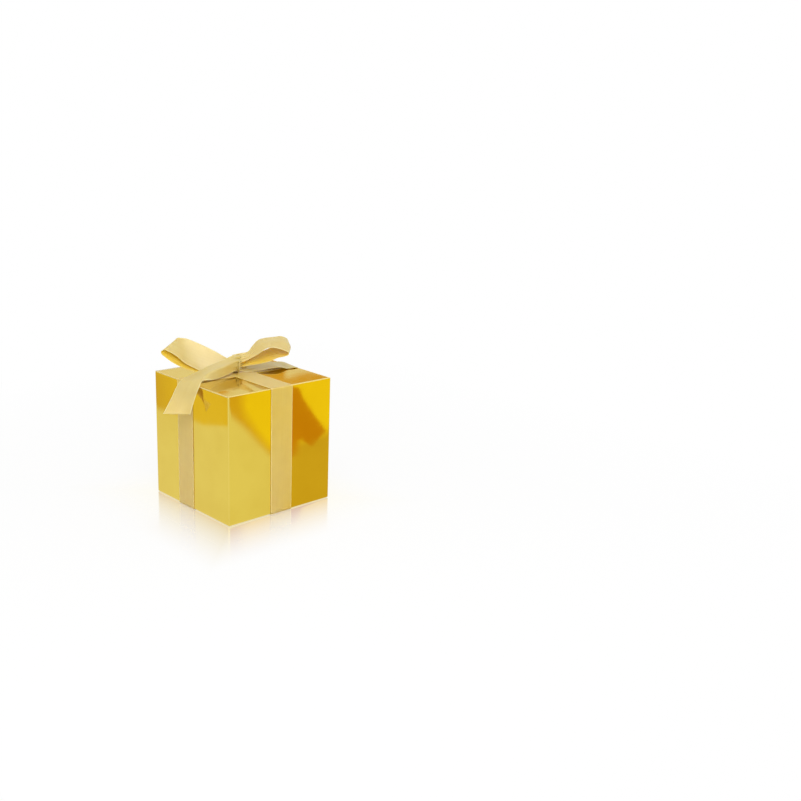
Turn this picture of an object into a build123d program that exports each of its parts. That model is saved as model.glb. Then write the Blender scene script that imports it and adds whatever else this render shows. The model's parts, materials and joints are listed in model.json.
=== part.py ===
from build123d import *
import math
import os

# A gift carton of foil board with a tuck lid, tied with a crossed satin ribbon and a bow.
# Sizes are millimetres and angles degrees. Z is up, the front looks along -Y,
# and the origin is on the table under the middle of the carton.

# Carton
carton_width = 101.6
carton_depth = 101.6
carton_height = 104.0
board = 0.5
corner_radius = 1.0
crease_gap = 0.1
layer_gap = 0.1

# Lid, tuck flap and dust flaps
lid_side_inset = 0.3
lid_front_gap = 0.1
front_edge_drop = 0.2
tuck_length = 18.0
tuck_lean = 12.0
tuck_side_inset = 8.0
tuck_corner_radius = 7.0
dust_flap_depth = 44.0
dust_flap_back_taper = 45.0
dust_flap_front_taper = 8.0
dust_flap_front_room = 4.0
dust_flap_back_room = 2.0

# Auto-lock base and glue seam
base_side_flap_depth = 38.0
base_side_flap_taper = 35.0
base_seam_step = 9.0
base_seam_slant = 12.0
base_gap = 0.2
glue_flap_width = 13.0
glue_flap_end_room = 6.0

# Ribbon wrapped as a cross
ribbon_width = 21.0
ribbon_thickness = 0.3
ribbon_clearance = 0.1
cross_x = 0.0
cross_y = 7.0
cross_gap = 0.15
bend_gap = 0.05
fold_room = 0.3

# Bow
knot_radius = 4.0
knot_height = 7.5
knot_edge_radius = 2.0
knot_shift = 1.5
bow_clearance = 0.2
bow_heading = -37.0
gathered_width = 7.5
loop_spread = 26.0
loop_stations = 17
loop_start_height = 4.3

left_loop_reach = 57.0
left_loop_rise = 19.0
left_loop_roll = -38.0
left_loop_upper_bulge = 5.0
left_loop_lower_bulge = 10.0
left_loop_skew = 9.0

right_loop_reach = 42.0
right_loop_rise = 25.0
right_loop_roll = 27.0
right_loop_upper_bulge = 11.0
right_loop_lower_bulge = 4.0
right_loop_skew = 0.0

tail_start_height = 0.5
tail_arch_height = 2.2
left_tail_heading = 190.0
left_tail_overhang = 3.2
left_tail_fold_height = 3.1
left_tail_turn = -8.0
left_tail_end_turn = -34.0
left_tail_end_out = 11.5
left_tail_end_drop = 24.8
right_tail_heading = -7.0
right_tail_overhang = 1.2
right_tail_fold_height = 1.2
right_tail_end_out = 1.0
right_tail_end_drop = 26.0

# Places worked out from the sizes
half_width = carton_width / 2
half_depth = carton_depth / 2
half_board = board / 2
half_ribbon = ribbon_thickness / 2
base_z = ribbon_thickness + ribbon_clearance
top_z = base_z + carton_height
lid_hinge_y = half_depth - half_board
lid_hinge_z = top_z - half_board
tuck_hinge_y = -half_depth + board + lid_front_gap + half_board
dust_hinge_x = half_width - half_board
dust_hinge_z = top_z - board - layer_gap - half_board
wrap_x = half_width + ribbon_clearance + half_ribbon
wrap_y = half_depth + ribbon_clearance + half_ribbon
under_z = half_ribbon
over_z = top_z + ribbon_clearance + half_ribbon
front_fold_y = -wrap_y + ribbon_thickness + fold_room
bow_z = over_z + half_ribbon + bow_clearance
knot_x = cross_x + knot_shift
knot_y = cross_y

# The right tail folds along the lid's edge, so its fold turns back by as much as the tail is aslant.
right_tail_turn = right_tail_heading


def slab(points, thickness, middle_z):
    """A flat sheet with the given outline, centred on a height."""
    sheet = extrude(Polygon(*points, align=None), thickness, dir=(0, 0, 1))
    return Pos(0, 0, middle_z - thickness / 2) * sheet


def bead(middle, direction, length, radius):
    """The round edge that a crease turns on."""
    return Plane(origin=middle, z_dir=direction) * Cylinder(radius, length)


def block(x_range, y_range, z_range):
    """A square-edged piece between two corners."""
    low, high = zip(x_range, y_range, z_range)
    size = [b - a for a, b in zip(low, high)]
    return Pos(*low) * Box(*size, align=(Align.MIN, Align.MIN, Align.MIN))


def wall(outward, height):
    """One upright panel, cut from the folded ring of board at the middle of its two corners."""
    ring = RectangleRounded(carton_width, carton_depth, corner_radius)
    ring -= RectangleRounded(carton_width - 2 * board, carton_depth - 2 * board, corner_radius - board)
    across, away = (half_width, half_depth) if outward.X == 0 else (half_depth, half_width)
    reach = corner_radius + board
    wedge = Polygon(
        (-across - reach, -away - reach),
        (across + reach, -away - reach),
        (across - reach, -away + reach),
        (-across + reach, -away + reach),
        align=None,
    )
    turn = math.degrees(math.atan2(outward.X, -outward.Y))
    return Pos(0, 0, base_z) * extrude(ring & Rot(0, 0, turn) * wedge, height)


def body_panels():
    """The four walls: a raw edge at the front, and the creases of lid and dust flaps on the rest."""
    front = wall(Vector(0, -1, 0), carton_height - front_edge_drop)
    back = wall(Vector(0, 1, 0), lid_hinge_z - base_z)
    back += bead((0, lid_hinge_y, lid_hinge_z), (1, 0, 0), carton_width - 2 * corner_radius, half_board)
    panels = {"front_panel": front, "back_panel": back}
    for name, side in (("left_panel", -1), ("right_panel", 1)):
        panel = wall(Vector(side, 0, 0), dust_hinge_z - base_z)
        crease = (side * dust_hinge_x, 0, dust_hinge_z)
        panel += bead(crease, (0, 1, 0), carton_depth - 2 * corner_radius, half_board)
        panels[name] = panel
    return panels


def glue_flap():
    """The strip that joins the blank's two ends, stuck inside the left panel at the back."""
    back_end = half_depth - board - corner_radius
    return block(
        (-half_width + board, -half_width + 2 * board),
        (back_end - glue_flap_width, back_end),
        (base_z + 2 * board + layer_gap, dust_hinge_z - glue_flap_end_room),
    )


def base_flaps():
    """Two outer flaps that meet in a stepped seam, and two tapered flaps on top of them."""
    reach_x = half_width - board - base_gap
    reach_y = half_depth - board - base_gap
    seam = [
        (reach_x, -base_seam_step),
        (base_seam_slant, -base_seam_step),
        (-base_seam_slant, base_seam_step),
        (-reach_x, base_seam_step),
    ]
    front = [(-reach_x, -reach_y), (reach_x, -reach_y)] + [(x, y - base_gap / 2) for x, y in seam]
    back = [(reach_x, reach_y), (-reach_x, reach_y)] + [(x, y + base_gap / 2) for x, y in reversed(seam)]
    outer_z = base_z + half_board
    flaps = {
        "base_front_flap": slab(front, board, outer_z),
        "base_back_flap": slab(back, board, outer_z),
    }
    taper = base_side_flap_depth * math.tan(math.radians(base_side_flap_taper))
    for name, side in (("base_left_flap", -1), ("base_right_flap", 1)):
        root = side * reach_x
        tip = side * (reach_x - base_side_flap_depth)
        outline = [(root, -reach_y), (tip, -reach_y + taper), (tip, reach_y - taper), (root, reach_y)]
        flaps[name] = slab(outline, board, outer_z + board)
    return flaps


def lid_panel():
    """The top sheet, from the back crease to the rounded fold that carries the tuck flap."""
    side = half_width - lid_side_inset
    back_end = lid_hinge_y - half_board - crease_gap
    lid = block((-side, side), (tuck_hinge_y, back_end), (top_z - board, top_z))
    return lid + bead((0, tuck_hinge_y, lid_hinge_z), (1, 0, 0), 2 * side, half_board)


def lid_tuck_flap():
    """The tongue behind the front panel, leaning in a little, with its two free corners rounded."""
    half_tuck = half_width - tuck_side_inset
    start = half_board + crease_gap
    tongue = Pos(0, -(start + tuck_length) / 2) * Rectangle(2 * half_tuck, tuck_length - start)
    tongue = fillet(tongue.vertices().group_by(Axis.Y)[0], tuck_corner_radius)
    lean = math.radians(tuck_lean)
    face = Plane(
        origin=(0, tuck_hinge_y, lid_hinge_z),
        x_dir=(1, 0, 0),
        z_dir=(0, -math.cos(lean), -math.sin(lean)),
    )
    return face * extrude(tongue, half_board, both=True)


def dust_flap(side):
    """A tapered flap under the lid, hinged on a side panel; side is -1 for left and 1 for right."""
    root = side * (dust_hinge_x - half_board - crease_gap)
    tip = root - side * dust_flap_depth
    front = -half_depth + board + dust_flap_front_room
    back = half_depth - board - dust_flap_back_room
    front_taper = dust_flap_depth * math.tan(math.radians(dust_flap_front_taper))
    back_taper = dust_flap_depth * math.tan(math.radians(dust_flap_back_taper))
    outline = [(root, front), (tip, front + front_taper), (tip, back - back_taper), (root, back)]
    return slab(outline, board, dust_hinge_z)


def ribbon_bead(middle, direction):
    return bead(middle, direction, ribbon_width, half_ribbon)


def ribbon_underside():
    """The stretches under the base. The left-right one is whole, and the others stop beside it."""
    half = ribbon_width / 2
    height = (under_z - half_ribbon, under_z + half_ribbon)
    middle = block((-wrap_x, wrap_x), (cross_y - half, cross_y + half), height)
    for side in (-1, 1):
        middle += ribbon_bead((side * wrap_x, cross_y, under_z), (0, 1, 0))
    across = (cross_x - half, cross_x + half)
    front = block(across, (-wrap_y, cross_y - half - cross_gap), height)
    front += ribbon_bead((cross_x, -wrap_y, under_z), (1, 0, 0))
    back = block(across, (cross_y + half + cross_gap, wrap_y), height)
    back += ribbon_bead((cross_x, wrap_y, under_z), (1, 0, 0))
    return {"ribbon_under_middle": middle, "ribbon_under_front": front, "ribbon_under_back": back}


def ribbon_bands():
    """The four upright bands, each from the bend at the base to the bend at the lid's edge."""
    half = ribbon_width / 2
    height = (under_z + half_ribbon + bend_gap, over_z)
    bands = {}
    for name, side in (("ribbon_left_band", -1), ("ribbon_right_band", 1)):
        place = side * wrap_x
        band = block((place - half_ribbon, place + half_ribbon), (cross_y - half, cross_y + half), height)
        bands[name] = band + ribbon_bead((place, cross_y, over_z), (0, 1, 0))
    for name, side in (("ribbon_front_band", -1), ("ribbon_back_band", 1)):
        place = side * wrap_y
        band = block((cross_x - half, cross_x + half), (place - half_ribbon, place + half_ribbon), height)
        bands[name] = band + ribbon_bead((cross_x, place, over_z), (1, 0, 0))
    over_edge = block(
        (cross_x - half, cross_x + half),
        (-wrap_y, front_fold_y),
        (over_z - half_ribbon, over_z + half_ribbon),
    )
    bands["ribbon_front_band"] += over_edge + ribbon_bead((cross_x, front_fold_y, over_z), (1, 0, 0))
    return bands


def ribbon_top(outward, bend, end):
    """A stretch over the lid, from its bend to a straight cut near the crossing."""
    half = ribbon_width / 2
    start = bend - half_ribbon - bend_gap
    outline = [(end, -half), (start, -half), (start, half), (end, half)]
    stretch = slab(outline, ribbon_thickness, over_z)
    return Pos(cross_x, cross_y) * Rot(0, 0, outward) * stretch


def ribbon_tops():
    """The front and back stretches meet under the knot, and the side ones stop beside them."""
    under_knot = cross_gap / 2
    beside = ribbon_width / 2 + cross_gap
    return {
        "ribbon_top_right": ribbon_top(0, wrap_x - cross_x, beside),
        "ribbon_top_back": ribbon_top(90, wrap_y - cross_y, under_knot),
        "ribbon_top_left": ribbon_top(180, wrap_x + cross_x, beside),
        "ribbon_top_front": ribbon_top(270, cross_y - front_fold_y, under_knot),
    }


def bow_knot():
    knot = Cylinder(knot_radius, knot_height, align=(Align.CENTER, Align.CENTER, Align.MIN))
    return Pos(knot_x, knot_y, bow_z) * fillet(knot.edges().filter_by(GeomType.CIRCLE), knot_edge_radius)


def heading_vector(angle):
    return Vector(math.cos(math.radians(angle)), math.sin(math.radians(angle)), 0)


def ribbon_section(middle, along, across):
    """The ribbon's four corners at one place; across is a vector as long as the ribbon is wide there."""
    edge = across / 2
    skin = along.cross(across).normalized() * half_ribbon
    return [middle - edge - skin, middle + edge - skin, middle + edge + skin, middle - edge + skin]


def ribbon_strip(sections):
    """A strip of ribbon through its sections, with a straight-ruled face along each side of each span."""
    faces = [Face(Wire.make_polygon(sections[end], close=True)) for end in (0, -1)]
    for before, after in zip(sections, sections[1:]):
        for corner in range(4):
            ends = corner - 1, corner
            first, second = (Edge.make_line(*(section[k] for k in ends)) for section in (before, after))
            faces.append(Face.make_surface_from_curves(first, second))
    return Solid(Shell(faces))


def spread_width(distance):
    """The ribbon is gathered at the knot and lies open a little way out."""
    opened = math.sin(min(distance / loop_spread, 1) * math.pi / 2)
    return gathered_width + (ribbon_width - gathered_width) * opened


def bow_loop(heading, rise, roll, reach, upper_bulge, lower_bulge, skew):
    """A drop-shaped loop: out from the knot above, round its tip and back below."""
    level = heading_vector(heading)
    out = level * math.cos(math.radians(rise)) + Vector(0, 0, math.sin(math.radians(rise)))
    side = Vector(0, 0, 1).cross(level)
    up = out.cross(side)
    across = side * math.cos(math.radians(roll)) + up * math.sin(math.radians(roll))
    normal = out.cross(across)
    root = Vector(knot_x, knot_y, bow_z + loop_start_height)
    nearest = (knot_radius + bow_clearance) / math.cos(math.radians(rise))
    first = math.acos(1 - 2 * nearest / reach)
    sections = []
    for i in range(loop_stations):
        turn = first + (2 * math.pi - 2 * first) * i / (loop_stations - 1)
        bulge = upper_bulge if turn < math.pi else lower_bulge
        half_sine = math.sin(turn / 2)
        distance = reach * half_sine**2
        lift = bulge * math.sin(turn) * half_sine
        lift_rate = bulge * (math.cos(turn) * half_sine + math.sin(turn) * math.cos(turn / 2) / 2)
        along = out * (reach * math.sin(turn) / 2) + normal * lift_rate
        lean = out * (skew / ribbon_width * distance / reach)
        middle = root + out * distance + normal * lift
        sections.append(ribbon_section(middle, along, (across + lean) * spread_width(distance)))
    return ribbon_strip(sections)


def tail_fold(heading, overhang, height):
    """Where a tail bends down, just past the side of the carton."""
    level = heading_vector(heading)
    run = (half_width + overhang - math.copysign(knot_x, level.X * knot_x)) / abs(level.X)
    return Vector(knot_x, knot_y, top_z + height) + level * run, run


def bow_tail(heading, overhang, fold_height, turn):
    """The tail's upper stretch, arched a little over the lid, with the round edge that its end bends on."""
    level = heading_vector(heading)
    side = Vector(0, 0, 1).cross(level)
    fold, run = tail_fold(heading, overhang, fold_height)
    start = knot_radius + bow_clearance
    middles = [
        Vector(knot_x, knot_y, bow_z + tail_start_height) + level * start,
        Vector(knot_x, knot_y, top_z + tail_arch_height) + level * loop_spread,
        Vector(knot_x, knot_y, top_z + tail_arch_height) + level * ((loop_spread + run) / 2),
        fold,
    ]
    turns = [0, 0, turn / 2, turn]
    widths = [spread_width((middle - middles[0]).length) for middle in middles]
    sections = [
        ribbon_section(middle, level, side.rotate(Axis.Z, -angle) * width)
        for middle, angle, width in zip(middles, turns, widths)
    ]
    return ribbon_strip(sections) + ribbon_bead(fold, side.rotate(Axis.Z, -turn))


def bow_tail_end(heading, overhang, fold_height, turn, end_turn, out, drop):
    """The free end that hangs past the lid's edge, cut straight."""
    level = heading_vector(heading)
    side = Vector(0, 0, 1).cross(level)
    fold, _ = tail_fold(heading, overhang, fold_height)
    hang = level * out - Vector(0, 0, drop)
    places = [(half_ribbon + bend_gap) / hang.length, 0.5, 1]
    turns = [turn, (turn + end_turn) / 2, end_turn]
    sections = [
        ribbon_section(fold + hang * place, hang, side.rotate(Axis.Z, -angle) * ribbon_width)
        for place, angle in zip(places, turns)
    ]
    return ribbon_strip(sections)


def bow():
    return {
        "bow_knot": bow_knot(),
        "bow_left_loop": bow_loop(
            bow_heading + 180,
            left_loop_rise,
            left_loop_roll,
            left_loop_reach,
            left_loop_upper_bulge,
            left_loop_lower_bulge,
            left_loop_skew,
        ),
        "bow_right_loop": bow_loop(
            bow_heading,
            right_loop_rise,
            right_loop_roll,
            right_loop_reach,
            right_loop_upper_bulge,
            right_loop_lower_bulge,
            right_loop_skew,
        ),
        "bow_left_tail": bow_tail(
            left_tail_heading,
            left_tail_overhang,
            left_tail_fold_height,
            left_tail_turn,
        ),
        "bow_left_tail_end": bow_tail_end(
            left_tail_heading,
            left_tail_overhang,
            left_tail_fold_height,
            left_tail_turn,
            left_tail_end_turn,
            left_tail_end_out,
            left_tail_end_drop,
        ),
        "bow_right_tail": bow_tail(
            right_tail_heading,
            right_tail_overhang,
            right_tail_fold_height,
            right_tail_turn,
        ),
        "bow_right_tail_end": bow_tail_end(
            right_tail_heading,
            right_tail_overhang,
            right_tail_fold_height,
            right_tail_turn,
            right_tail_turn,
            right_tail_end_out,
            right_tail_end_drop,
        ),
    }


def favor_box():
    return {
        **body_panels(),
        "glue_flap": glue_flap(),
        **base_flaps(),
        "lid_panel": lid_panel(),
        "lid_tuck_flap": lid_tuck_flap(),
        "left_dust_flap": dust_flap(-1),
        "right_dust_flap": dust_flap(1),
        **ribbon_underside(),
        **ribbon_bands(),
        **ribbon_tops(),
        **bow(),
    }


os.makedirs("parts", exist_ok=True)
for node, shape in favor_box().items():
    export_step(shape, f"parts/{node}.step")
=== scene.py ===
import json
import math

import bpy
import numpy as np
from mathutils import Matrix, Vector, geometry, noise


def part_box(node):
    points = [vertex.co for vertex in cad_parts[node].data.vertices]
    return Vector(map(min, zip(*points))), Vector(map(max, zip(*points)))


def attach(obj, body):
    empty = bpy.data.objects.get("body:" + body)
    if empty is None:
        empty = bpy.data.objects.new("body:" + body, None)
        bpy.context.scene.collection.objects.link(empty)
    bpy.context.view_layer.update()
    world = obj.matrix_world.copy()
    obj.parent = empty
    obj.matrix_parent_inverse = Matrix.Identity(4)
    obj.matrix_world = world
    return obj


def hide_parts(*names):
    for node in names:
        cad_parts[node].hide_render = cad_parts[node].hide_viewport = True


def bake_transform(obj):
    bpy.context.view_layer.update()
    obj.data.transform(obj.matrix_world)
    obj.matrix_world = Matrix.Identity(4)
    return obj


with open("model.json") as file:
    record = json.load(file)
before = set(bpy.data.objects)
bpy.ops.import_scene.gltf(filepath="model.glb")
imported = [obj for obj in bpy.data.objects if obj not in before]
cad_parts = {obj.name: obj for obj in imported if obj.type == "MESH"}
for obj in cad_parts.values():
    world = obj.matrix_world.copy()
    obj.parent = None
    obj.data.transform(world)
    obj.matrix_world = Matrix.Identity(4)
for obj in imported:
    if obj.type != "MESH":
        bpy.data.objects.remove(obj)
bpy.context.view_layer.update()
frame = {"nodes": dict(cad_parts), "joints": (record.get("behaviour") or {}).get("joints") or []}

# A gold foil carton tied with a satin ribbon. Places come from the frame, in metres.
# Z is up, the front looks along -Y, and the origin is on the table under the carton.

MM = 0.001
UP = np.array((0.0, 0.0, 1.0))

# Board
BOARD = 0.5 * MM
CORNER_RADIUS = 1.0 * MM
BASE_EDGE_RADIUS = 0.6 * MM
WALL_BOW = 0.06 * MM
WALL_RIPPLE = 0.10 * MM
LID_RIPPLE = 0.05 * MM
RIPPLE_PER_METRE = 24.0
WEAR_REACH = 0.4 * MM
PANEL_STEPS = 57
CORNER_STEPS = 7
BASE_EDGE_SHARES = (0.06, 0.2, 0.4, 0.7, 1.0)
FOLD_SHARES = (0.05, 0.2, 0.5, 1.0)
LID_SIDE_STEP = 0.3 * MM
LID_SEED = 9.1
FOIL_FACING = 0.7

# Ribbon
RIBBON_WIDTH = 21.0 * MM
RIBBON_THICKNESS = 0.22 * MM
SELVAGE_WIDTH = 0.9 * MM
SELVAGE_THICKNESS = 0.32 * MM
SELVAGE_TINT_FADE = 0.6 * SELVAGE_WIDTH
SELVAGE_MIDDLE = 0.45 * SELVAGE_WIDTH
SELVAGE_FULL = 0.8 * SELVAGE_WIDTH
SELVAGE_END = 1.15 * SELVAGE_WIDTH
EDGE_WIDTH = 0.12 * MM
EDGE_THICKNESS = 0.14 * MM
MIDDLE_COLUMNS = 35
BEND_RADIUS = 0.95 * MM
BEND_LIFT = 0.1 * MM
BEND_LIFT_REACH = 6 * MM
BEND_STEPS = 11
WALL_STRETCH_STEPS = 60
LID_STRETCH_STEPS = 50
UNDER_BEND_RADIUS = 0.2 * MM
UNDER_BEND_STEPS = 5
UNDER_STRETCH_STEPS = 40
RIBBON_WAVE = 0.04 * MM
WAVE_PER_METRE = 70.0
WRAP_SEED_STEP = 3.1

# Bow: each strip is a list of stations from the knot outwards, and a loop's come back to it. A station's
# points go from the far edge to the near edge, as (along the strip's heading, towards the near side, above
# the knot's foot), in millimetres. Headings and the knot's start and end are in degrees.
BOW_HEADING = -37.0
LEFT_TAIL_HEADING = 193.0
RIGHT_TAIL_HEADING = -7.0
LEFT_LOOP = [
    [(-1, -2.0, 8.0), (-1, 2.0, 3.5)],
    [(5, -2.5, 8.7), (5, 3.0, 2.5)],
    [(10.75, -3.0, 11.5), (11, 4.0, 1.5)],
    [(20, -4.0, 16.6), (20, 5.0, 1.0)],
    [(28.7, -5.0, 20.8), (28.7, 5.0, 1.4)],
    [(36, -6.0, 23.8), (36.5, 5.5, 4.6)],
    [(43, -6.8, 26.3), (44.8, 6.0, 9.8)],
    [(46.5, -7.0, 26.6), (50, 6.5, 14.6)],
    [(48.8, -7.0, 26.8), (55.2, 7.0, 18.0)],
    [(50.4, -7.0, 26.3), (59.4, 7.2, 19.6)],
    [(51.0, -7.0, 25.0), (61.9, 7.4, 18.6)],
    [(50.4, -7.0, 23.4), (61.7, 7.4, 16.6)],
    [(48.3, -7.0, 21.2), (59.3, 7.2, 14.2)],
    [(43, -7.0, 17.2), (55, 7.0, 10.6)],
    [(36, -6.5, 12.5), (49, 6.5, 6.8)],
    [(27, -5.5, 9.0), (41.5, 6.0, 3.4)],
    [(18, -4.5, 7.0), (33, 5.5, 1.0)],
    [(10, -3.5, 6.0), (20, 5.0, 0.6)],
    [(4, -2.5, 5.5), (8, 3.5, 1.5)],
    [(-1, -1.5, 5.0), (-1, 2.0, 2.5)],
]
RIGHT_LOOP = [
    [(-6, -3.0, 13.4), (-4.5, 0.5, 10.6), (-3, 3.5, 7.8)],
    [(1.5, -3.5, 14.9), (1.8, 0.4, 12.4), (2, 3.8, 9.3)],
    [(7.5, -4.0, 16.6), (8, 0.2, 15.2), (8.5, 4.2, 12.4)],
    [(10.7, -5.5, 20.9), (11.4, 0, 18.4), (12, 5.2, 14.4)],
    [(14.9, -7.5, 25.2), (15.4, -0.3, 22.2), (16, 6.5, 17.2)],
    [(20, -9.0, 26.8), (20.4, -0.2, 24.9), (20.75, 8.5, 21.2)],
    [(25, -9.5, 27.4), (25, 0, 26.0), (25, 9.3, 22.9)],
    [(30, -9.5, 28.0), (30, 0, 26.3), (30, 9.5, 22.6)],
    [(33.5, -9.5, 28.5), (34.6, 0, 25.8), (35, 9.5, 21.2)],
    [(37, -9.5, 27.6), (38.8, 0, 24.5), (38.5, 9.5, 19.8)],
    [(39.3, -9.5, 26.0), (41.6, 0, 22.2), (40, 9.5, 18.3)],
    [(40.0, -9.5, 24.2), (41.8, 0, 20.4), (39.6, 9.5, 16.9)],
    [(38.5, -9.5, 22.4), (39.3, 0, 18.8), (37, 9.5, 15.8)],
    [(34, -9.5, 20.6), (33.6, 0, 17.2), (31.3, 9.0, 14.4)],
    [(27, -9.0, 19.2), (26.6, -0.5, 15.2), (26, 8.0, 11.7)],
    [(18, -7.0, 15.6), (18, -0.2, 12.2), (18, 6.5, 9.0)],
    [(9, -4.5, 11.0), (9, 0, 8.8), (9, 4.5, 6.8)],
    [(2, -3.0, 6.5), (2, 0, 5.8), (2, 3.0, 5.0)],
    [(-2, -2.5, 6.0), (-2, 0, 5.2), (-2, 2.5, 4.5)],
]
LEFT_TAIL = [
    [(-2, -1.0, 14.0), (0, 3.0, 9.0), (0, 2.0, 3.2)],
    [(2.4, -1.5, 14.8), (3.5, 3.0, 9.8), (3.5, 2.2, 3.2)],
    [(7, -2.1, 14.7), (9, 3.5, 10.2), (9, 3.0, 3.0)],
    [(13, -3.0, 13.2), (14.5, 4.0, 10.2), (15, 3.8, 2.6)],
    [(20, -4.2, 11.8), (21.5, 4.7, 10.0), (22, 4.8, 2.1)],
    [(30, -6.2, 9.6), (31, 5.2, 9.6), (32, 6.4, 2.0)],
    [(41, -10.0, 5.6), (41, 6.2, 8.6), (42, 8.2, 2.9)],
    [(49, -12.2, 3.0), (47, 6.0, 6.7), (48, 8.4, 3.8)],
    [(54.3, -13.0, 1.2), (52, 6.0, 4.6), (52.7, 8.1, 4.0)],
    [(57.5, -14.2, -3.0), (56.5, 5.6, 0.2), (57, 8.4, -1.0)],
    [(61.2, -16.0, -11.0), (59.3, 2.4, -10.0), (59.3, 5.8, -10.6)],
    [(72.9, -14.1, -21.9), (63.4, 1.4, -21.9), (62, 3.9, -21.9)],
]
RIGHT_TAIL = [
    [(-1, -2.0, 4.8), (-1, 2.0, 1.6)],
    [(4, -3.0, 4.8), (4, 3.4, 0.6)],
    [(8, -4.6, 4.8), (8, 5.4, 0.6)],
    [(15, -7.6, 4.6), (15, 7.9, 1.3)],
    [(22.3, -9.8, 4.0), (22.3, 9.5, 2.2)],
    [(32.5, -10.5, 3.0), (32.5, 10.4, 2.4)],
    [(41, -10.5, 1.8), (40.2, 10.5, 0.5)],
    [(48, -10.5, 0.9), (48, 10.5, 0.45)],
    [(50.0, -10.5, 0.2), (50.0, 10.5, 0.05)],
    [(51.0, -10.5, -2.0), (51.0, 10.5, -2.0)],
    [(51.3, -10.5, -10.0), (51.3, 10.5, -10.0)],
    [(51.6, -10.5, -26.0), (51.6, 10.5, -26.0)],
]
LOOP_ROWS = 121
TAIL_ROWS = 111
CREASE_SOFTNESS = 0.07
CREASE_SAMPLES = 9
ROW_OVERRUN = 0.3
PLEATS = 3.5
PLEAT_DEPTH = 0.55 * MM
PLEAT_REACH = 17 * MM
PLEAT_FADE = 1.5
KNOT_MIDDLE = (-2.8, 1.4, 5.4)
KNOT_HALF_DEPTH = 5.0 * MM
KNOT_HALF_HEIGHT = 4.4 * MM
KNOT_LENGTH = 5.0 * MM
KNOT_ROWS = 73
KNOT_START, KNOT_END = -80, 265
KNOT_FLARE = 0.15
KNOT_TAPER, KNOT_TAPER_TURN = 0.25, 0.4
KNOT_PLEATS = 4
KNOT_PLEAT_DEPTH = 0.9 * MM
KNOT_PLEAT_SWAY = 0.8
KNOT_FOOT_LIFT = 0.1 * MM

nodes = frame["nodes"]
joint_at = {joint["name"]: np.array(joint["pos_m"]) for joint in frame["joints"]}
base_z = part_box("front_panel")[0].z
lid_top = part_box("lid_panel")[1].z
half_side = -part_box("left_panel")[0].x
knot_low, knot_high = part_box("bow_knot")
knot_middle = np.array((knot_low + knot_high) / 2)
knot_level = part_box("ribbon_top_front")[0].z + KNOT_FOOT_LIFT
knot_foot = np.array((knot_middle[0], knot_middle[1], knot_level))


def unit(vectors):
    return vectors / np.linalg.norm(vectors, axis=-1, keepdims=True)


def heading_vector(degrees):
    return np.array((math.cos(math.radians(degrees)), math.sin(math.radians(degrees)), 0.0))


def ease(value):
    """0 to 1 without a corner at either end."""
    value = min(max(value, 0.0), 1.0)
    return value * value * (3 - 2 * value)


NEAR_SIDE = np.cross(heading_vector(BOW_HEADING), UP)


# Materials


def new_material(name, sockets):
    """A Principled material with the sockets that are the same all over set directly."""
    material = bpy.data.materials.new(name)
    material.use_nodes = True
    shader = material.node_tree.nodes["Principled BSDF"]
    for socket, value in sockets.items():
        shader.inputs[socket].default_value = value
    return material, shader


class Graph:
    """Short calls for the nodes of one material."""

    def __init__(self, material):
        self.tree = material.node_tree

    def node(self, kind, inputs=(), **settings):
        made = self.tree.nodes.new(kind)
        for setting, value in settings.items():
            setattr(made, setting, value)
        for socket, value in dict(inputs).items():
            if isinstance(value, bpy.types.NodeSocket):
                self.link(value, made.inputs[socket])
            else:
                made.inputs[socket].default_value = value
        return made

    def link(self, source, target):
        self.tree.links.new(source, target)

    def noise(self, vector, scale, detail=2.0):
        inputs = {"Vector": vector, "Scale": scale, "Detail": detail}
        return self.node("ShaderNodeTexNoise", inputs).outputs["Fac"]

    def wave(self, vector, scale, distortion, direction):
        inputs = {"Vector": vector, "Scale": scale, "Distortion": distortion}
        return self.node("ShaderNodeTexWave", inputs, bands_direction=direction).outputs["Fac"]

    def math(self, operation, first, second=0.0):
        return self.node("ShaderNodeMath", {0: first, 1: second}, operation=operation).outputs[0]

    def ramp(self, value, between, to=(0.0, 1.0)):
        """One range carried over to another, and held at its ends."""
        low, high = between
        inputs = {"Value": value, "From Min": low, "From Max": high, "To Min": to[0], "To Max": to[1]}
        return self.node("ShaderNodeMapRange", inputs).outputs["Result"]

    def mix(self, factor, first, second):
        made = self.node("ShaderNodeMix", {"Factor": factor}, data_type="RGBA")
        for socket, value in ((6, first), (7, second)):
            if isinstance(value, bpy.types.NodeSocket):
                self.link(value, made.inputs[socket])
            else:
                made.inputs[socket].default_value = (*value, 1.0)
        return made.outputs[2]

    def bump(self, height, strength, distance, below=None):
        inputs = {"Height": height, "Strength": strength, "Distance": distance}
        if below is not None:
            inputs["Normal"] = below
        return self.node("ShaderNodeBump", inputs).outputs["Normal"]

    def mix_shaders(self, factor, first, second):
        return self.node("ShaderNodeMixShader", {0: factor, 1: first, 2: second}).outputs[0]


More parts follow.
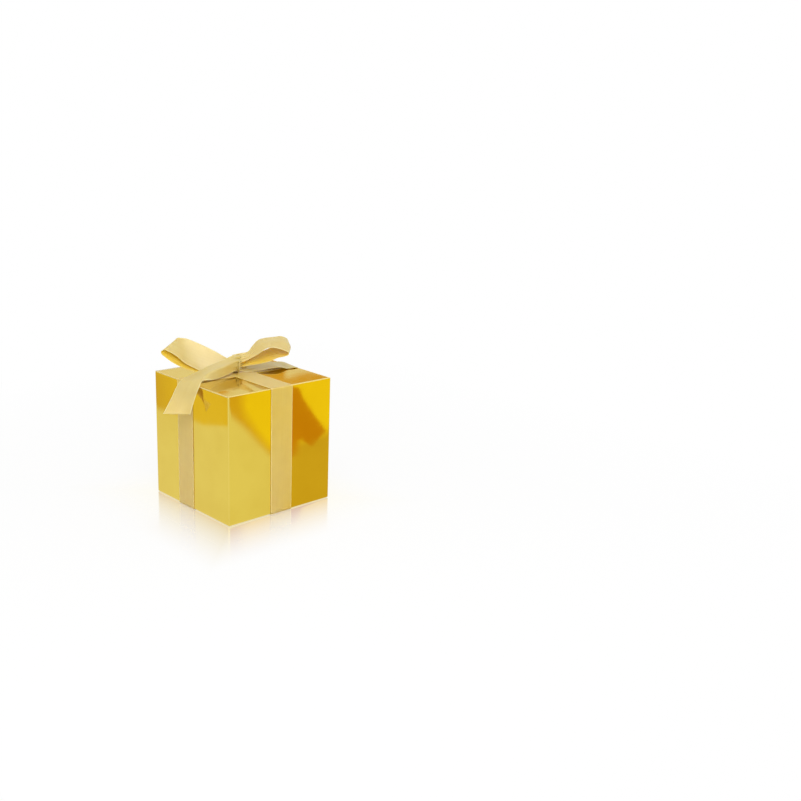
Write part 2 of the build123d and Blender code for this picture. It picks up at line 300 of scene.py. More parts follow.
def gold_foil():
    """Mirror-gold foil: faintly uneven in tint and gloss, paler and duller where it is folded."""
    deep, light, worn = (0.715, 0.525, 0.072), (0.745, 0.56, 0.084), (0.88, 0.71, 0.24)
    material, shader = new_material("gold_foil", {"Metallic": 1.0})
    graph = Graph(material)
    place = graph.node("ShaderNodeTexCoord").outputs["Object"]
    wear = graph.node("ShaderNodeAttribute", attribute_name="wear").outputs["Fac"]
    tint = graph.ramp(graph.noise(place, scale=30.0), (0.35, 0.65))
    gold = graph.mix(tint, deep, light)
    graph.link(graph.mix(wear, gold, worn), shader.inputs["Base Color"])
    gloss = graph.ramp(graph.noise(place, scale=140.0, detail=4.0), (0.3, 0.7), to=(0.06, 0.10))
    dulled = graph.math("MULTIPLY", wear, 0.25)
    graph.link(graph.math("ADD", gloss, dulled), shader.inputs["Roughness"])
    broad = graph.noise(place, scale=45.0, detail=1.0)
    waves = graph.bump(broad, strength=0.12, distance=0.4 * MM)
    fine = graph.noise(place, scale=1600.0, detail=3.0)
    grain = graph.bump(fine, strength=0.05, distance=0.05 * MM, below=waves)
    graph.link(grain, shader.inputs["Normal"])
    return material


def board(name, shade, light):
    """Bare board with fine fibres: warm white inside, tinted by the foil along its cut edges."""
    material, shader = new_material(name, {"Specular IOR Level": 0.25})
    graph = Graph(material)
    place = graph.node("ShaderNodeTexCoord").outputs["Object"]
    fibres = graph.noise(place, scale=900.0, detail=5.0)
    cloudy = graph.noise(place, scale=60.0, detail=3.0)
    tone = graph.ramp(graph.math("ADD", fibres, cloudy), (0.7, 1.3))
    graph.link(graph.mix(tone, shade, light), shader.inputs["Base Color"])
    graph.link(graph.ramp(fibres, (0.3, 0.7), to=(0.62, 0.8)), shader.inputs["Roughness"])
    graph.link(graph.bump(fibres, strength=0.3, distance=0.08 * MM), shader.inputs["Normal"])
    return material


def satin(name, deep, light, selvage, gloss):
    """Satin: fine threads along the ribbon, streaks of sheen, and a lighter woven selvage."""
    sockets = {
        "Specular IOR Level": gloss,
        "Anisotropic": 0.4,
        "Sheen Weight": 0.06,
        "Sheen Roughness": 0.4,
        "Sheen Tint": (1.0, 0.9, 0.62, 1.0),
        "Specular Tint": (1.0, 0.97, 0.88, 1.0),
        "Subsurface Weight": 0.75,
        "Subsurface Radius": (1.0, 0.9, 0.6),
        "Subsurface Scale": 0.8 * MM,
    }
    material, shader = new_material(name, sockets)
    graph = Graph(material)
    flat = graph.node("ShaderNodeUVMap", uv_map="cut").outputs["UV"]
    drawn_out = {"Vector": flat, "Scale": (700.0, 25.0, 1.0)}
    streaky = graph.node("ShaderNodeMapping", drawn_out).outputs["Vector"]
    streaks = graph.noise(streaky, scale=1.0, detail=3.0)
    soft = graph.noise(flat, scale=90.0)
    across = graph.node("ShaderNodeSeparateXYZ", {"Vector": flat}).outputs["X"]
    inset = graph.math("MINIMUM", across, graph.math("SUBTRACT", RIBBON_WIDTH, across))
    edge = graph.ramp(inset, (SELVAGE_TINT_FADE, SELVAGE_WIDTH), to=(1.0, 0.0))
    tone = graph.ramp(graph.math("ADD", streaks, soft), (0.65, 1.35))
    graph.link(graph.mix(edge, graph.mix(tone, deep, light), selvage), shader.inputs["Base Color"])
    sheen = graph.ramp(streaks, (0.3, 0.7), to=(0.31, 0.39))
    dulled = graph.math("MULTIPLY", edge, 0.1)
    graph.link(graph.math("ADD", sheen, dulled), shader.inputs["Roughness"])
    warp = graph.wave(flat, scale=900.0, distortion=1.5, direction="X")
    weft = graph.wave(flat, scale=700.0, distortion=1.0, direction="Y")
    weave = graph.math("ADD", warp, graph.math("MULTIPLY", weft, 0.6))
    graph.link(graph.bump(weave, strength=0.08, distance=0.05 * MM), shader.inputs["Normal"])
    tangent = graph.node("ShaderNodeTangent", direction_type="UV_MAP", uv_map="cut")
    graph.link(tangent.outputs["Tangent"], shader.inputs["Tangent"])
    return material


FOIL = gold_foil()
PLAIN_BOARD = board("plain_board", shade=(0.76, 0.72, 0.62), light=(0.85, 0.82, 0.73))
CUT_EDGE = board("cut_edge", shade=(0.78, 0.62, 0.26), light=(0.86, 0.71, 0.34))
BOARD_FACES = [FOIL, PLAIN_BOARD, CUT_EDGE]
# The bow and the bands are one ribbon, yet the bow looks paler: its satin is a paler, yellower copy,
# painted light for the stronger light and sheen on the bow.
SATIN = satin(
    "satin_face",
    deep=(0.69, 0.46, 0.095),
    light=(0.74, 0.51, 0.12),
    selvage=(0.80, 0.60, 0.21),
    gloss=1.0,
)
# Painted light: the band satin made paler and yellower for the stronger light and sheen on the bow.
PAINTED_LIGHT_BOW_SATIN = satin(
    "bow_satin_painted_light",
    deep=(0.60, 0.46, 0.135),
    light=(0.645, 0.51, 0.17),
    selvage=(0.70, 0.60, 0.27),
    gloss=1.0,
)
# The satin's back, on every strip's lower side and the loops' insides: partly the duller back of
# single-faced satin, partly painted shade, a more saturated gold for the shaded insides and undersides.
SATIN_BACK_AND_PAINTED_SHADE = satin(
    "satin_back_and_painted_shade",
    deep=(0.74, 0.505, 0.055),
    light=(0.79, 0.56, 0.075),
    selvage=(0.80, 0.60, 0.14),
    gloss=0.5,
)


# Meshes


def closed_sheet(name, upper, lower, materials, cut, wear=None):
    """A closed piece between two grids of points: its upper side, its lower side and the rim."""
    rows, columns = upper.shape[:2]
    count = rows * columns
    index = np.arange(count).reshape(rows, columns)
    side = np.stack([index[:-1, :-1], index[1:, :-1], index[1:, 1:], index[:-1, 1:]], -1).reshape(-1, 4)
    border = np.concatenate([index[0], index[1:, -1], index[-1, -2::-1], index[-2:0:-1, 0]])
    ahead = np.roll(border, -1)
    rim = np.stack([border, ahead, ahead + count, border + count], -1)
    faces = np.concatenate([side, side[:, ::-1] + count, rim])
    mesh = bpy.data.meshes.new(name)
    mesh.from_pydata(np.concatenate([upper, lower]).reshape(-1, 3).tolist(), [], faces.tolist())
    for material in materials:
        mesh.materials.append(material)
    part = np.repeat([0, 1, 2], [len(side), len(side), len(rim)])
    mesh.polygons.foreach_set("material_index", np.minimum(part, len(materials) - 1).astype(np.int32))
    mesh.polygons.foreach_set("use_smooth", part < 2)
    corner_points = np.zeros(len(mesh.loops), np.int32)
    mesh.loops.foreach_get("vertex_index", corner_points)
    both = np.concatenate([cut.reshape(-1, 2), cut.reshape(-1, 2)])
    mesh.uv_layers.new(name="cut").data.foreach_set("uv", both[corner_points].astype(np.float32).ravel())
    if wear is not None:
        both_wear = np.concatenate([wear.ravel(), wear.ravel()]).astype(np.float32)
        mesh.attributes.new("wear", "FLOAT", "POINT").data.foreach_set("value", both_wear)
    mesh.update()
    piece = bpy.data.objects.new(name, mesh)
    bpy.context.scene.collection.objects.link(piece)
    return piece


def grid_steps(low, high, count, dense=()):
    """Evenly spaced places with extra ones, in order."""
    return np.array(sorted({*np.linspace(low, high, count).tolist(), *dense}))


# Carton


def round_off(distance, radius):
    """How far a rounded edge has drawn back at a distance from its end."""
    short = max(radius - distance, 0.0)
    return radius - math.sqrt(max(radius * radius - short * short, 0.0))


def wall(node, outward, rounded_top, seed):
    """One upright panel, from the middle of one corner to the middle of the next, foil outside."""
    outward = np.array(outward, float)
    across = np.cross(UP, outward)
    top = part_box(node)[1].z
    flat_half = half_side - CORNER_RADIUS
    corner = [
        (flat_half + CORNER_RADIUS * math.sin(t), CORNER_RADIUS * math.cos(t), t)
        for t in np.linspace(0.0, math.pi / 4, CORNER_STEPS)[1:]
    ]
    profile = [(-along, out, -turn) for along, out, turn in reversed(corner)]
    profile += [(a, CORNER_RADIUS, 0.0) for a in np.linspace(-flat_half, flat_half, PANEL_STEPS)]
    profile += corner
    edge_steps = [base_z + BASE_EDGE_RADIUS * s for s in BASE_EDGE_SHARES]
    edge_steps += [top - BOARD / 2 * s for s in FOLD_SHARES]
    heights = grid_steps(base_z, top, PANEL_STEPS, edge_steps)
    upper, lower, wear, cut = [], [], [], []
    for z in heights:
        for along, out, turn in profile:
            normal = across * math.sin(turn) + outward * math.cos(turn)
            u, v = along / half_side, 2 * (z - base_z) / (top - base_z) - 1
            window = max(1 - u * u, 0.0) * max(1 - v * v, 0.0)
            ripple = noise.noise(Vector((along * RIPPLE_PER_METRE, z * RIPPLE_PER_METRE, seed)))
            sink = window * (WALL_BOW + WALL_RIPPLE * ripple)
            foot = round_off(z - base_z, BASE_EDGE_RADIUS)
            crown = round_off(top - z, BOARD / 2) if rounded_top else 0.0
            place = across * along + outward * (flat_half + out) + UP * z
            upper.append(place - normal * (sink + foot + crown))
            lower.append(place - normal * (sink + BOARD - crown))
            nearest = min(half_side - abs(along), z - base_z)
            wear.append(math.exp(-((nearest / WEAR_REACH) ** 2)))
            cut.append((along, z))
    shape = (len(heights), len(profile), -1)
    grids = [np.array(grid).reshape(shape)[:, ::-1] for grid in (upper, lower, cut, wear)]
    piece = closed_sheet(node + "_foil", *grids[:2], BOARD_FACES, *grids[2:])
    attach(piece, "carton")
    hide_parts(node)


def lid():
    """The lid's sheet: foil above, a rounded fold in front, and cut edges elsewhere."""
    low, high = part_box("lid_panel")
    front_steps = [low.y + BOARD / 2 * s for s in FOLD_SHARES]
    side_steps = [low.x + LID_SIDE_STEP, high.x - LID_SIDE_STEP]
    ys = grid_steps(low.y, high.y, PANEL_STEPS, front_steps)
    xs = grid_steps(low.x, high.x, PANEL_STEPS, side_steps)
    upper, lower, wear, cut = [], [], [], []
    for y in ys:
        for x in xs:
            u, v = x / high.x, 2 * (y - low.y) / (high.y - low.y) - 1
            window = max(1 - u * u, 0.0) * max(1 - v * v, 0.0)
            ripple = noise.noise(Vector((x * RIPPLE_PER_METRE, y * RIPPLE_PER_METRE, LID_SEED)))
            lift = window * LID_RIPPLE * ripple
            nose = round_off(y - low.y, BOARD / 2)
            upper.append((x, y, high.z + lift - nose))
            lower.append((x, y, low.z + lift + nose))
            nearest = min(y - low.y, high.x - abs(x))
            wear.append(math.exp(-((nearest / WEAR_REACH) ** 2)))
            cut.append((x, y))
    shape = (len(ys), len(xs), -1)
    grids = [np.array(grid).reshape(shape)[:, ::-1] for grid in (upper, lower, cut, wear)]
    piece = closed_sheet("lid_foil", *grids[:2], BOARD_FACES, *grids[2:])
    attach(piece, "lid")
    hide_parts("lid_panel")


def flap_faces(node, foil_side):
    """A flap keeps its own mesh: foil on the side that is the carton's outside, bare board elsewhere."""
    mesh = nodes[node].data
    mesh.materials.clear()
    for material in (FOIL, PLAIN_BOARD):
        mesh.materials.append(material)
    for face in mesh.polygons:
        face.material_index = 0 if face.normal.dot(Vector(foil_side)) > FOIL_FACING else 1


def carton():
    wall("front_panel", (0, -1, 0), rounded_top=False, seed=1.3)
    wall("back_panel", (0, 1, 0), rounded_top=True, seed=3.7)
    wall("left_panel", (-1, 0, 0), rounded_top=True, seed=5.2)
    wall("right_panel", (1, 0, 0), rounded_top=True, seed=7.9)
    lid()
    foil_sides = {
        "lid_tuck_flap": (0, -1, 0),
        "left_dust_flap": (0, 0, 1),
        "right_dust_flap": (0, 0, 1),
        "glue_flap": (-1, 0, 0),
        "base_front_flap": (0, 0, -1),
        "base_back_flap": (0, 0, -1),
        "base_left_flap": (0, 0, -1),
        "base_right_flap": (0, 0, -1),
    }
    for node, side in foil_sides.items():
        flap_faces(node, side)


# Ribbon


def ribbon_columns():
    """Places across the ribbon, from -0.5 to 0.5, close together at the selvages."""
    edge = [0.0, EDGE_WIDTH, SELVAGE_MIDDLE, SELVAGE_FULL, SELVAGE_END]
    near = np.array(edge) / RIBBON_WIDTH - 0.5
    middle = np.linspace(near[-1], -near[-1], MIDDLE_COLUMNS)[1:-1]
    return np.concatenate([near, middle, -near[::-1]])


COLUMNS = ribbon_columns()
COLUMN_INSET = (0.5 - np.abs(COLUMNS)) * RIBBON_WIDTH
COLUMN_THICKNESS = np.interp(
    COLUMN_INSET,
    [0.0, EDGE_WIDTH, SELVAGE_FULL, SELVAGE_END],
    [EDGE_THICKNESS, SELVAGE_THICKNESS, SELVAGE_THICKNESS, RIBBON_THICKNESS],
)


def ribbon_piece(name, rows, face):
    """A closed strip of satin around rows of points, each row running across the ribbon."""
    grid = np.array(rows)
    normal = unit(np.cross(np.gradient(grid, axis=0), np.gradient(grid, axis=1)))
    skin = normal * (COLUMN_THICKNESS / 2)[None, :, None]
    steps = np.linalg.norm(np.diff(grid, axis=0), axis=2).mean(axis=1)
    along = np.concatenate([[0.0], np.cumsum(steps)])
    across = (COLUMNS + 0.5) * RIBBON_WIDTH
    cut = np.stack(np.broadcast_arrays(across[None, :], along[:, None]), -1)
    # The lower side takes the back satin, which is partly painted shade.
    piece = closed_sheet(name, grid + skin, grid - skin, [face, SATIN_BACK_AND_PAINTED_SHADE, face], cut)
    return piece


def arc(middle, radius, start, end, count):
    """Points on an arc in a plane, from one angle in degrees to another, without its two ends."""
    return [
        (middle[0] + radius * math.cos(t), middle[1] + radius * math.sin(t))
        for t in np.linspace(math.radians(start), math.radians(end), count + 2)[1:-1]
    ]


def straight(start, end, count):
    return [tuple(p) for p in np.linspace(start, end, count)]


def strip_rows(path, outward, sideways, offset, seed):
    """Rows along a path of (outward, up) points, with the ribbon lying sideways across it, at an offset."""
    rows = []
    for out, up in path:
        wave = RIBBON_WAVE * noise.noise(Vector((out * WAVE_PER_METRE, up * WAVE_PER_METRE, seed)))
        middle = outward * (out + wave) + UP * (up + wave)
        rows.append([middle + sideways * c + offset for c in COLUMNS * RIBBON_WIDTH])
    return rows


def ribbon_wrap(side, outward, seed):
    """One length of ribbon, up a wall, over the lid's edge and along the lid to its cut end."""
    outward = np.array(outward, float)
    across = np.cross(outward, UP)
    band_low, band_high = (np.array(corner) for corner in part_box(f"ribbon_{side}_band"))
    top_low, top_high = (np.array(corner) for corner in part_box(f"ribbon_top_{side}"))
    plane = float(joint_at[f"ribbon_{side}_fall"] @ outward)
    level = (top_low[2] + top_high[2]) / 2
    end = min(float(top_low @ outward), float(top_high @ outward))
    turn = (plane + BEND_LIFT - BEND_RADIUS, level + BEND_LIFT - BEND_RADIUS)
    path = [
        (plane + BEND_LIFT * ease(1 - (turn[1] - up) / BEND_LIFT_REACH), up)
        for up in np.linspace(band_low[2], turn[1], WALL_STRETCH_STEPS)
    ]
    path += arc(turn, BEND_RADIUS, 0, 90, BEND_STEPS)
    path += [
        (out, level + BEND_LIFT * ease(1 - (turn[0] - out) / BEND_LIFT_REACH))
        for out in np.linspace(turn[0], end, LID_STRETCH_STEPS)
    ]
    offset = across * float(((band_low + band_high) / 2) @ across)
    rows = strip_rows(path, outward, across, offset, seed)
    piece = ribbon_piece(f"{side}_wrap", rows, SATIN)
    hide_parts(f"ribbon_{side}_band", f"ribbon_top_{side}")
    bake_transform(piece)


def ribbon_under(node, outward, ends_bent, seed):
    """A stretch under the base, turned up where a wall's ribbon takes over."""
    outward = np.array(outward, float)
    across = np.cross(outward, UP)
    low, high = (np.array(corner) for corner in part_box(node))
    level = (low[2] + high[2]) / 2
    first, last = sorted((float(low @ outward), float(high @ outward)))
    bend = UNDER_BEND_RADIUS
    half = RIBBON_THICKNESS / 2
    path = []
    if ends_bent[0]:
        path += arc((first + half + bend, level + bend), bend, 180, 270, UNDER_BEND_STEPS)
        first += half + bend
    straight_end = last - (half + bend if ends_bent[1] else 0.0)
    path += straight((first, level), (straight_end, level), UNDER_STRETCH_STEPS)
    if ends_bent[1]:
        path += arc((last - half - bend, level + bend), bend, 270, 360, UNDER_BEND_STEPS)
    offset = across * float(((low + high) / 2) @ across)
    rows = strip_rows(path, outward, across, offset, seed)
    piece = ribbon_piece(node + "_satin", rows, SATIN)
    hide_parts(node)
    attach(piece, "carton")


def bow_points(heading, stations):
    """The stations' points in space."""
    along = heading_vector(heading)
    near = np.cross(along, UP)
    if near @ NEAR_SIDE < 0:
        near = -near
    points = np.array(stations, float) * MM
    return knot_foot + points[..., :1] * along + points[..., 1:2] * near + points[..., 2:] * UP


def smooth_rows(points, count):
    """More stations, evenly spaced on smooth curves through the given ones."""
    steps = np.linalg.norm(np.diff(points.mean(axis=1), axis=0), axis=1)
    at = np.concatenate([[0.0], np.cumsum(steps)])
    slopes = np.gradient(points, at, axis=0)
    wanted = np.linspace(0.0, at[-1], count)
    i = np.clip(np.searchsorted(at, wanted) - 1, 0, len(at) - 2)
    span = (at[i + 1] - at[i])[:, None, None]
    t = ((wanted - at[i]) / (at[i + 1] - at[i]))[:, None, None]
    return (
        (2 * t**3 - 3 * t**2 + 1) * points[i]
        + (t**3 - 2 * t**2 + t) * span * slopes[i]
        + (3 * t**2 - 2 * t**3) * points[i + 1]
        + (t**3 - t**2) * span * slopes[i + 1]
    )


def across_row(points):
    """One row of the ribbon through a station's points, with its creases softened."""
    steps = np.linalg.norm(np.diff(points, axis=0), axis=1)
    at = np.concatenate([[0.0], np.cumsum(steps)]) / steps.sum()
    first = points[0] - (points[1] - points[0]) * ROW_OVERRUN / at[1]
    last = points[-1] + (points[-1] - points[-2]) * ROW_OVERRUN / (1 - at[-2])
    at = np.concatenate([[-ROW_OVERRUN], at, [1 + ROW_OVERRUN]])
    points = np.concatenate([[first], points, [last]])
    shifts = np.linspace(-CREASE_SOFTNESS, CREASE_SOFTNESS, CREASE_SAMPLES)
    places = (COLUMNS + 0.5)[:, None] + shifts[None, :]
    return np.stack([np.interp(places, at, points[:, axis]).mean(axis=1) for axis in range(3)], -1)


def bow_strip(name, heading, stations, count, phase):
    """A strip of the bow, drawn into pleats where it goes into the knot."""
    spine = smooth_rows(bow_points(heading, stations), count)
    rows = np.array([across_row(points) for points in spine])
    normal = unit(np.cross(np.gradient(rows, axis=0), np.gradient(rows, axis=1)))
    if normal[0].mean(axis=0) @ UP < 0:
        rows, normal = rows[:, ::-1], -normal[:, ::-1]
    distance = np.linalg.norm((rows.mean(axis=1) - knot_foot)[:, :2], axis=1)
    drawn = np.clip(1 - distance / PLEAT_REACH, 0.0, 1.0) ** PLEAT_FADE
    pleats = np.cos(2 * math.pi * PLEATS * COLUMNS + phase)
    rows = rows + normal * (PLEAT_DEPTH * drawn[:, None] * pleats[None, :])[..., None]
    # The bow's strips take the paler satin, painted light.
    return ribbon_piece(name, rows, PAINTED_LIGHT_BOW_SATIN)


def bow_loop(name, node, heading, stations, phase):
    """A loop, out from the knot and back to it."""
    piece = bow_strip(name, heading, stations, LOOP_ROWS, phase)
    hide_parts(node)
    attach(piece, "ribbon_front_tip")


def bow_tail(name, side, heading, stations, phase):
    """A tail over the lid, bent down past its edge, with a straight-cut end."""
    piece = bow_strip(name, heading, stations, TAIL_ROWS, phase)
    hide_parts(f"bow_{side}_tail", f"bow_{side}_tail_end")
    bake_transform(piece)


def bow_knot():
    """A turn of ribbon drawn tight round the bow, in deep pleats that run round it."""
    along = -heading_vector(BOW_HEADING)
    middle = bow_points(BOW_HEADING, [KNOT_MIDDLE])[0]
    rows = []
    for turn in np.linspace(math.radians(KNOT_START), math.radians(KNOT_END), KNOT_ROWS):
        spoke = NEAR_SIDE * (KNOT_HALF_DEPTH * math.cos(turn)) + UP * (KNOT_HALF_HEIGHT * math.sin(turn))
        outward = unit(spoke)
        sway = KNOT_PLEAT_SWAY * math.sin(turn)
        lift = KNOT_PLEAT_DEPTH * np.cos(2 * math.pi * KNOT_PLEATS * COLUMNS + sway)
        waist = 1 + KNOT_FLARE * (2 * COLUMNS) ** 2
        lengths = KNOT_LENGTH * (1 + KNOT_TAPER * math.sin(turn + KNOT_TAPER_TURN)) * COLUMNS
        across = zip(lengths, waist, lift)
        rows.append([middle + along * c + spoke * w + outward * h for c, w, h in across])
    # The knot takes the bow's paler satin, painted light.
    piece = ribbon_piece("knot", rows, PAINTED_LIGHT_BOW_SATIN)
    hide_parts("bow_knot")
    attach(piece, "ribbon_front_tip")


def ribbon():
    sides = {"front": (0, -1, 0), "back": (0, 1, 0), "left": (-1, 0, 0), "right": (1, 0, 0)}
    for seed, (side, outward) in enumerate(sides.items()):
        ribbon_wrap(side, outward, seed * WRAP_SEED_STEP)
    ribbon_under("ribbon_under_middle", (1, 0, 0), ends_bent=(True, True), seed=15.0)
    ribbon_under("ribbon_under_front", (0, -1, 0), ends_bent=(False, True), seed=17.0)
    ribbon_under("ribbon_under_back", (0, 1, 0), ends_bent=(False, True), seed=19.0)
    bow_loop("left_loop", "bow_left_loop", BOW_HEADING + 180, LEFT_LOOP, phase=0.4)
    bow_loop("right_loop", "bow_right_loop", BOW_HEADING, RIGHT_LOOP, phase=1.9)
    bow_tail("left_tail", "left", LEFT_TAIL_HEADING, LEFT_TAIL, phase=0.9)
    bow_tail("right_tail", "right", RIGHT_TAIL_HEADING, RIGHT_TAIL, phase=2.6)
    bow_knot()


carton()
ribbon()


# Stage

CAMERA_PLACE = Vector((-0.47486, -0.64647, 0.30788))
CAMERA_AZIMUTH, CAMERA_ELEVATION, CAMERA_ROLL = -45.589, 15.539, 2.423
PHOTO_FOCAL_PIXELS, PHOTO_WIDTH_PIXELS = 1000.2, 801
SENSOR = 36.0
FLOOR_HALF = 4.0
MIRROR_REACH = 60 * MM
MIRROR_SHARE = 0.62
MIRROR_FADE = 1.6
SHADOW_NEAR, SHADOW_FAR = 0.05, 0.4
WHITE_NEAR, WHITE_FAR = 0.88, 1.0
ROUND_LIGHT = 0.6
WHITE = (1, 1, 1, 1)


def camera():
    """The camera that was fitted to the box's corners in the photo."""
    azimuth, elevation = math.radians(CAMERA_AZIMUTH), math.radians(CAMERA_ELEVATION)
    roll = math.radians(CAMERA_ROLL)
    back = Vector(
        (
            math.sin(azimuth) * math.cos(elevation),
            -math.cos(azimuth) * math.cos(elevation),
            math.sin(elevation),
        )
    )
    level = Vector((math.cos(azimuth), math.sin(azimuth), 0.0))
    up = back.cross(level)
    right = level * math.cos(roll) + up * math.sin(roll)
    above = up * math.cos(roll) - level * math.sin(roll)
    data = bpy.data.cameras.new("camera")
    data.sensor_width = SENSOR
    data.lens = SENSOR * PHOTO_FOCAL_PIXELS / PHOTO_WIDTH_PIXELS
    made = bpy.data.objects.new("camera", data)
    turned = Matrix((right, above, back)).transposed().to_4x4()
    made.matrix_world = Matrix.Translation(CAMERA_PLACE) @ turned
    bpy.context.scene.collection.objects.link(made)
    bpy.context.scene.camera = made


def stage_mesh(name, corners, faces, material):
    mesh = bpy.data.meshes.new(name)
    mesh.from_pydata([tuple(corner) for corner in corners], [], faces)
    mesh.materials.append(material)
    made = bpy.data.objects.new(name, mesh)
    bpy.context.scene.collection.objects.link(made)
    return made


def floor():
    """A white floor that keeps the shadow, and mirrors the box faintly close to it."""
    material = bpy.data.materials.new("floor")
    material.use_nodes = True
    graph = Graph(material)
    tree = material.node_tree
    tree.nodes.remove(tree.nodes["Principled BSDF"])
    path = graph.node("ShaderNodeLightPath")
    place = graph.node("ShaderNodeNewGeometry").outputs["Position"]
    axes = graph.node("ShaderNodeSeparateXYZ", {0: place}).outputs
    sides = [graph.math("ABSOLUTE", axes[i]) for i in range(2)]
    away = graph.math("SUBTRACT", graph.math("MAXIMUM", *sides), half_side)
    mirror = graph.math("POWER", graph.ramp(away, (0.0, MIRROR_REACH), to=(1.0, 0.0)), MIRROR_FADE)
    mirror = graph.math("MULTIPLY", mirror, MIRROR_SHARE)
    own_light = graph.ramp(away, (SHADOW_NEAR, SHADOW_FAR), to=(WHITE_NEAR, WHITE_FAR))
    white = graph.node("ShaderNodeEmission", {"Color": WHITE, "Strength": 1.0}).outputs[0]
    matte = graph.node("ShaderNodeBsdfDiffuse", {"Color": (0.9, 0.9, 0.9, 1)}).outputs[0]
    polish = {"Color": (1, 0.97, 0.86, 1), "Roughness": 0.1}
    gloss = graph.node("ShaderNodeBsdfAnisotropic", polish).outputs[0]
    lit = graph.mix_shaders(own_light, matte, white)
    seen = graph.mix_shaders(mirror, lit, gloss)
    by_light = graph.mix_shaders(path.outputs["Is Camera Ray"], matte, seen)
    mirrored = graph.math("MAXIMUM", path.outputs["Is Glossy Ray"], path.outputs["Is Transmission Ray"])
    shown = graph.mix_shaders(mirrored, by_light, white)
    graph.link(shown, tree.nodes["Material Output"].inputs["Surface"])
    size = FLOOR_HALF
    corners = [(-size, -size, 0), (size, -size, 0), (size, size, 0), (-size, size, 0)]
    stage_mesh("floor", corners, [[0, 1, 2, 3]], material)


def backdrop_light():
    """White behind everything, and soft even light from all round."""
    world = bpy.data.worlds.new("studio")
    bpy.context.scene.world = world
    world.use_nodes = True
    graph = Graph(world)
    tree = world.node_tree
    path = graph.node("ShaderNodeLightPath")
    mirrored = graph.math("MAXIMUM", path.outputs["Is Glossy Ray"], path.outputs["Is Transmission Ray"])
    seen = graph.math("MAXIMUM", path.outputs["Is Camera Ray"], mirrored)
    warm = {"Color": (1.0, 0.99, 0.97, 1), "Strength": ROUND_LIGHT}
    soft = graph.node("ShaderNodeBackground", warm).outputs[0]
    white = graph.node("ShaderNodeBackground", {"Color": WHITE, "Strength": 1.0}).outputs[0]
    shown = graph.mix_shaders(seen, soft, white)
    tree.nodes.remove(tree.nodes["Background"])
    graph.link(shown, tree.nodes["World Output"].inputs["Surface"])


def softbox(name, place, target, size, power):
    """A square lamp that faces its target."""
    data = bpy.data.lights.new(name, "AREA")
    data.shape = "SQUARE"
    data.size = size
    data.energy = power
    lamp = bpy.data.objects.new(name, data)
    lamp.location = place
    lamp.rotation_euler = (Vector(target) - Vector(place)).to_track_quat("-Z", "Y").to_euler()
    bpy.context.scene.collection.objects.link(lamp)


def card_material():
    """A card glows in its own colour, only towards what it faces, and fades out where its cover does."""
    material = bpy.data.materials.new("card")
    material.use_nodes = True
    graph = Graph(material)
    tree = material.node_tree
    tree.nodes.remove(tree.nodes["Principled BSDF"])
    behind = graph.node("ShaderNodeNewGeometry").outputs["Backfacing"]
    colour = graph.node("ShaderNodeAttribute", attribute_name="glow").outputs["Color"]
    cover = graph.node("ShaderNodeAttribute", attribute_name="cover").outputs["Fac"]
    open_share = graph.math("MAXIMUM", behind, graph.math("SUBTRACT", 1.0, cover))
    glow = graph.node("ShaderNodeEmission", {"Color": colour, "Strength": 1.0}).outputs[0]
    clear = graph.node("ShaderNodeBsdfTransparent").outputs[0]
    shown = graph.mix_shaders(open_share, glow, clear)
    graph.link(shown, tree.nodes["Material Output"].inputs["Surface"])
    return material


CARD = card_material()
FRONT, LEFT, ABOVE = Vector((0, -1, 0)), Vector((-1, 0, 0)), Vector((0, 0, 1))
FLOOR_CARD_HEIGHT = 0.5 * MM


def on_face(face, point):
    """A point in millimetres on the front (x, z), the left wall (y, z) or the lid (x, y)."""
    first, second = point[0] * MM, point[1] * MM
    if face is FRONT:
        return Vector((first, -half_side, second))
    if face is LEFT:
        return Vector((-half_side, first, second))
    return Vector((first, second, lid_top))


def card(name, face, colour, outline, core=(), distance=None):
    """
    A reflector that the camera sees mirrored inside an outline on one face of the carton. It stands at a
    distance from that face, or lies on the floor without one. With a core it fades in from its outline.
    """
    corners = []
    for point in (*outline, *core):
        start = on_face(face, point)
        sight = (start - CAMERA_PLACE).normalized()
        mirrored = sight - 2 * sight.dot(face) * face
        if distance is None:
            reach = (FLOOR_CARD_HEIGHT - start.z) / mirrored.z
        else:
            reach = distance / mirrored.dot(face)
        corners.append(start + mirrored * reach)
    count = len(outline)
    ahead = [(i + 1) % count for i in range(count)]
    if core:
        faces = [[i, ahead[i], count + ahead[i], count + i] for i in range(count)]
        faces.append([count + i for i in range(count)])
        covers = [0.0] * count + [1.0] * count
    else:
        faces = [list(range(count))]
        covers = [1.0] * count
    towards = ABOVE if distance is None else -face
    if geometry.normal(corners[:count]).dot(towards) < 0:
        faces = [indices[::-1] for indices in faces]
    made = stage_mesh(name, corners, faces, CARD)
    glow = made.data.attributes.new("glow", "FLOAT_COLOR", "POINT")
    glow.data.foreach_set("color", [*colour, 1.0] * len(corners))
    cover = made.data.attributes.new("cover", "FLOAT", "POINT")
    cover.data.foreach_set("value", covers)
    made.visible_camera = False
    made.visible_diffuse = False
    made.visible_shadow = False
    made.visible_transmission = False


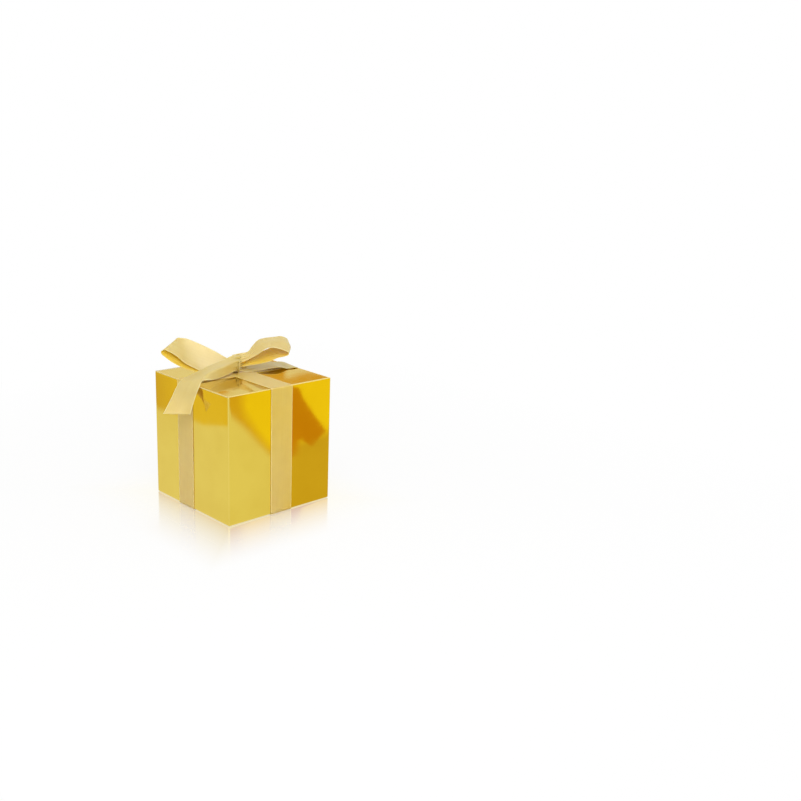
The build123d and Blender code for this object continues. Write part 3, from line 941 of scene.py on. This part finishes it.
def cards():
    """What stands round the box and shows in its foil."""
    gold, yellow, orange = (0.97, 0.79, 0.17), (1.15, 0.98, 0.06), (0.75, 0.37, 0.02)
    deep_gold, dark_gold = (0.87, 0.61, 0.08), (0.80, 0.61, 0.11)
    amber, pale, brown = (0.78, 0.44, 0.03), (0.94, 0.89, 0.62), (0.78, 0.58, 0.16)

    card(
        "left_gold", LEFT, gold, distance=0.135,
        outline=[(75, 56), (49, 61), (17, 67), (-5, 71.5), (-48, 81.5), (-75, 88), (-75, 150), (75, 150)],
    )
    card(
        "left_brown", LEFT, brown, distance=0.13,
        outline=[(15, 60), (15, 150), (90, 150), (90, 50)],
        core=[(60, 62), (60, 148), (89, 148), (89, 56)],
    )
    card(
        "front_gold", FRONT, deep_gold, distance=0.115,
        outline=[
            (-60, 96), (-49, 88), (-43, 81), (-34, 72), (-25, 62), (-16, 52), (-8, 43), (0, 34),
            (0, 150), (-60, 150),
        ],
        core=[
            (-59, 101), (-48, 93), (-40, 86), (-31, 77), (-22, 67), (-13, 57), (-5, 48), (-1, 40),
            (-1, 149), (-59, 149),
        ],
    )
    card(
        "front_yellow", FRONT, yellow, distance=0.11,
        outline=[(-44, 120), (-43, 98), (-39, 85), (-29, 71), (-18, 57), (0, 41), (0, 120)],
        core=[(-33, 119), (-33, 95), (-29, 86), (-21, 74), (-11, 61), (-1, 52), (-1, 119)],
    )
    card(
        "right_yellow", FRONT, yellow, distance=0.11,
        outline=[(0, 150), (80, 150), (80, 58), (44, 53), (0, 50)],
        core=[(1, 149), (79, 149), (79, 69), (44, 62), (1, 60)],
    )
    card(
        "right_orange", FRONT, orange, distance=0.1,
        outline=[
            (0, 103), (10.5, 103), (17.5, 101), (21.6, 91.5), (45, 60), (31.3, 49.5), (21, 57.5),
            (15, 58), (0, 58),
        ],
    )
    card(
        "right_fading", FRONT, orange, distance=0.1,
        outline=[(-2, 60), (23, 58.5), (18, 44), (14, 36), (-2, 34)],
        core=[(-1, 59), (15, 58), (13, 54), (12, 52), (-1, 50)],
    )
    card(
        "low_right", FRONT, dark_gold,
        outline=[(-9, 68), (30, 72), (90, 84), (90, 0.2), (-9, 0.2)],
        core=[(8, 56), (30, 58), (89, 66), (89, 0.6), (8, 0.6)],
    )
    card(
        "lid_amber", ABOVE, amber, distance=0.09,
        outline=[(-70, -70), (70, -70), (70, 70), (-70, 70)],
    )
    card(
        "lid_front", ABOVE, pale, distance=0.085,
        outline=[
            (-75, -58), (-47, -41), (-38, -35), (-29, -30), (-18, -24), (-6, -23), (4, -25),
            (4, -75), (-75, -75),
        ],
    )
    card(
        "lid_right", ABOVE, pale, distance=0.085,
        outline=[(47, -1), (22, -24), (24, -28.5), (36, -27.5), (62, -26.5), (62, -3)],
    )
    card(
        "lid_left", ABOVE, pale, distance=0.085,
        outline=[(-60, 60), (-14, 60), (-20, 15), (-60, -5)],
    )


camera()
floor()
backdrop_light()
softbox("key", place=(-0.45, -0.76, 0.88), target=(0, 0, 0.08), size=0.8, power=7.4)
softbox("top", place=(0.1, 0.1, 1.1), target=(0, 0, 0.1), size=2.0, power=1.2)
softbox("left", place=(-0.9, -0.05, 0.45), target=(0, 0, 0.06), size=1.0, power=1.1)
softbox("right", place=(0.6, -0.35, 0.85), target=(0, 0, 0.08), size=1.2, power=0.9)
cards()

scene = bpy.context.scene
scene.view_settings.view_transform = "Standard"
